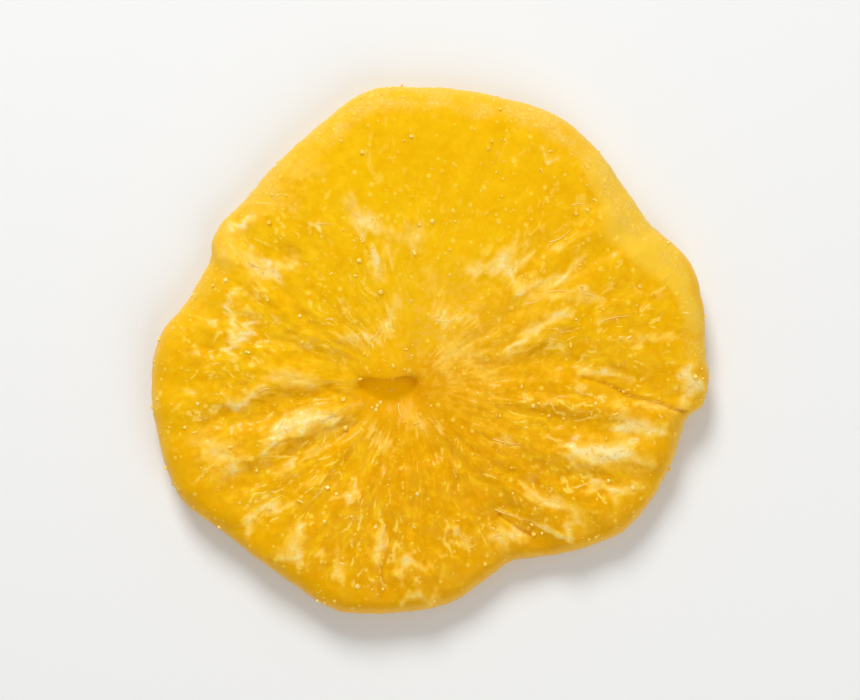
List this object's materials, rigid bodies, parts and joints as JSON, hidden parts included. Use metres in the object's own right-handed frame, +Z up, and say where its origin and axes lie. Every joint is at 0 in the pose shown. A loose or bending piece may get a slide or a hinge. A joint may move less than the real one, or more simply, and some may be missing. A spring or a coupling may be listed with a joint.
{
  "type": "dried pineapple ring",
  "caption": "Candied, dried pineapple ring: a flat slice with a scalloped, rounded rim, a small pinched core hole off the middle, and furrows running out from it.",
  "frame": {"origin": "centre of the bounding box in X and Y, at the bottom of the ring, on the surface it lies on", "axes": "+Z up through the ring's thickness; +X along its longest width; +Y towards the side that has the tongue over the core hole"},
  "size_m": [0.066, 0.0626, 0.0067],
  "materials": {
    "candied_flesh": null
  },
  "bodies": {
    "root": {"pineapple_ring": "candied_flesh"}
  },
  "joints": []
}
